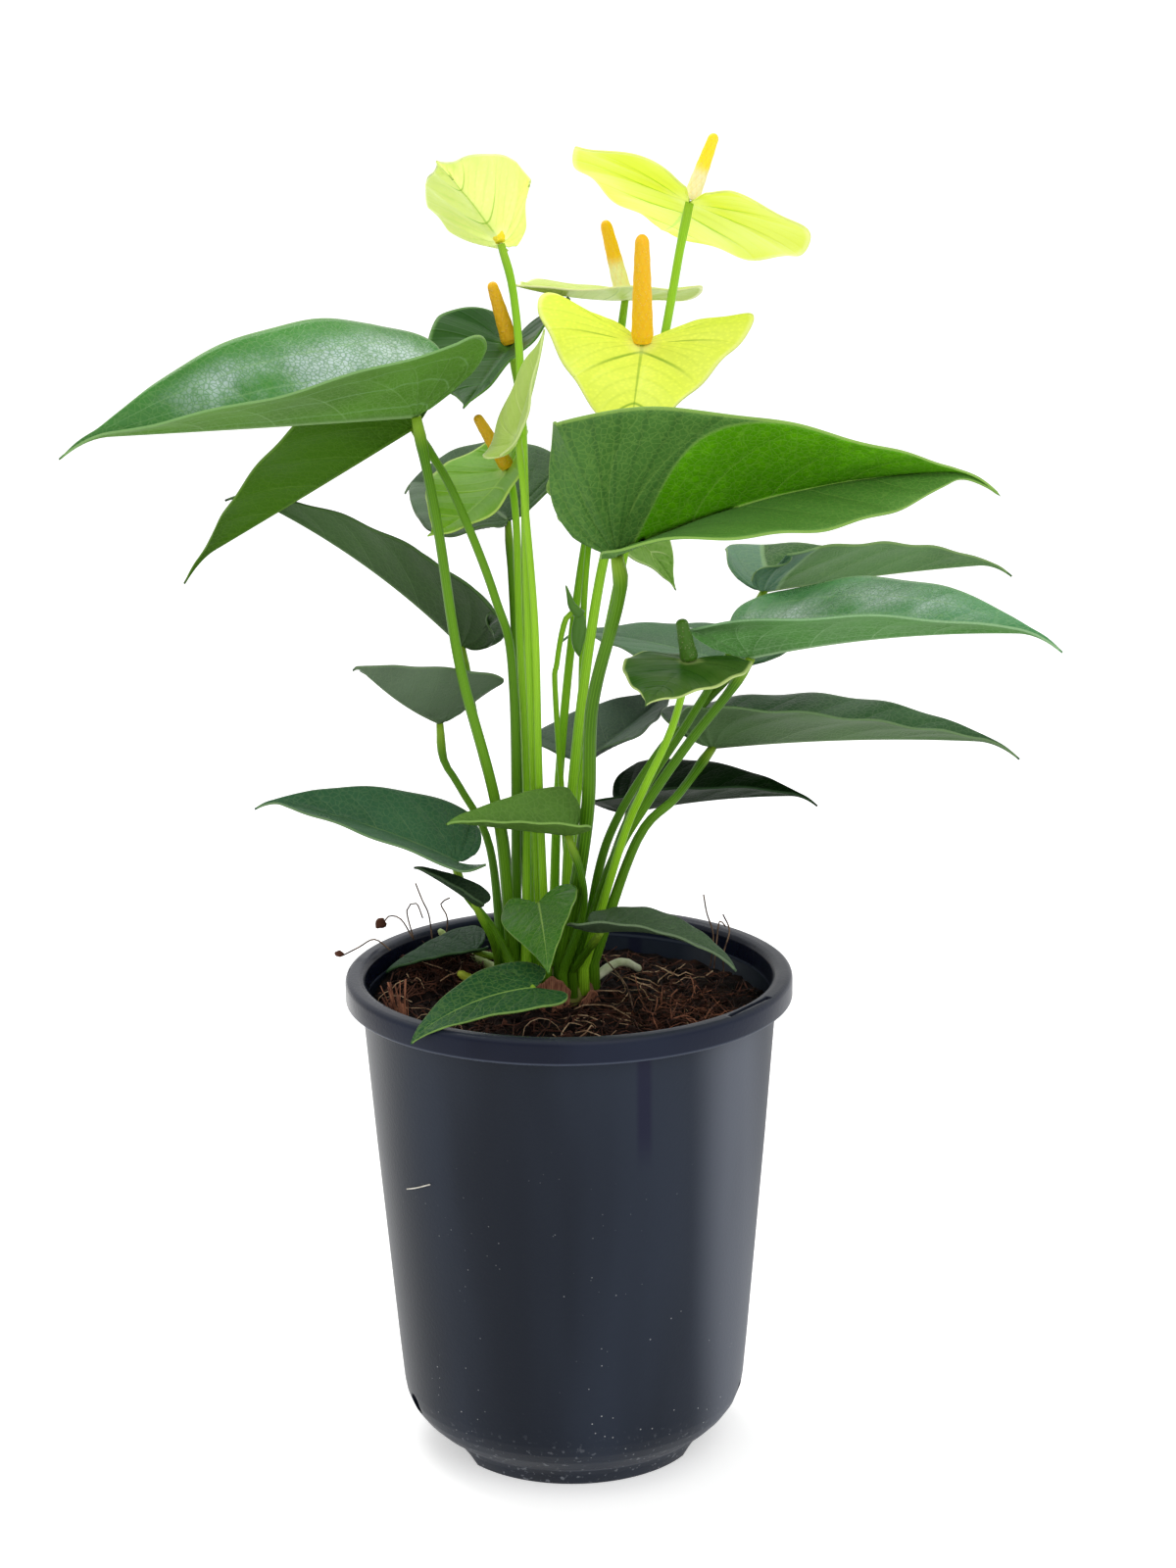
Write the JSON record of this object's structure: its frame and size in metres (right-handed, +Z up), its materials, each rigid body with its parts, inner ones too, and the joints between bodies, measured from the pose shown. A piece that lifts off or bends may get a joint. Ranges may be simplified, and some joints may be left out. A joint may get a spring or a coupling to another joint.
{
  "type": "potted anthurium",
  "caption": "Potted flowering anthurium: folded heart-shaped leaves and yellow-green spathes with finger-like spadices on long stalks, in a round black nursery pot of peat and coir.",
  "frame": {"origin": "centre of the plant's plan outline at the level that the pot's foot rests on", "axes": "+Z up through the plant; -Y towards the side that shows the most leaf faces, +X towards the large right-hand leaves"},
  "size_m": [0.2869, 0.1902, 0.4126],
  "materials": {
    "pot_plastic": "satin",
    "peat_and_coir": "rough",
    "crown_tissue": "satin",
    "root_skin": "matte",
    "green_leaf": "semi-gloss",
    "dark_leaf": "semi-gloss",
    "grey_leaf": "satin",
    "pale_leaf": "satin",
    "yellow_spathe": "satin",
    "green_spathe": "satin",
    "dark_spathe": "satin",
    "flower_stalk": "satin",
    "orange_spadix": "matte",
    "green_spadix": "matte"
  },
  "bodies": {
    "root": {"pot": "pot_plastic", "substrate": "peat_and_coir", "crown": "crown_tissue", "root_left": "root_skin", "root_stub": "root_skin", "root_right": "root_skin", "leaf_upper_left": "green_leaf", "leaf_left_hanging": "green_leaf", "leaf_left_rising": "dark_leaf", "leaf_left_grey": "grey_leaf", "leaf_large_right": "green_leaf", "leaf_right_upper": "green_leaf", "leaf_right_middle": "green_leaf", "leaf_right_rear": "grey_leaf", "leaf_right_lower": "green_leaf", "leaf_right_dark": "dark_leaf", "leaf_rear_grey": "grey_leaf", "leaf_rear_left": "pale_leaf", "leaf_lower_left": "green_leaf", "leaf_young_front": "pale_leaf", "leaf_heart_front": "pale_leaf", "leaf_over_rim": "pale_leaf", "leaf_on_soil_left": "dark_leaf", "leaf_on_soil_right": "green_leaf", "leaf_small_left": "dark_leaf", "flower_hooded_spathe": "yellow_spathe", "flower_hooded_stalk": "flower_stalk", "flower_hooded_spadix": "orange_spadix", "flower_top_spathe": "yellow_spathe", "flower_top_stalk": "flower_stalk", "flower_top_spadix": "orange_spadix", "flower_front_spathe": "yellow_spathe", "flower_front_stalk": "flower_stalk", "flower_front_spadix": "orange_spadix", "flower_rear_spathe": "yellow_spathe", "flower_rear_stalk": "flower_stalk", "flower_rear_spadix": "orange_spadix", "flower_aged_dark_spathe": "dark_spathe", "flower_aged_dark_stalk": "flower_stalk", "flower_aged_dark_spadix": "orange_spadix", "flower_aged_green_spathe": "green_spathe", "flower_aged_green_stalk": "flower_stalk", "flower_aged_green_spadix": "orange_spadix", "flower_folded_spathe": "yellow_spathe", "flower_folded_stalk": "flower_stalk", "flower_hidden_spathe": "green_spathe", "flower_hidden_stalk": "flower_stalk", "flower_hidden_spadix": "green_spadix", "flower_young_spathe": "green_spathe", "flower_young_stalk": "flower_stalk", "flower_young_spadix": "green_spadix", "flower_bud": "green_spathe", "flower_bud_stalk": "flower_stalk"}
  },
  "joints": []
}
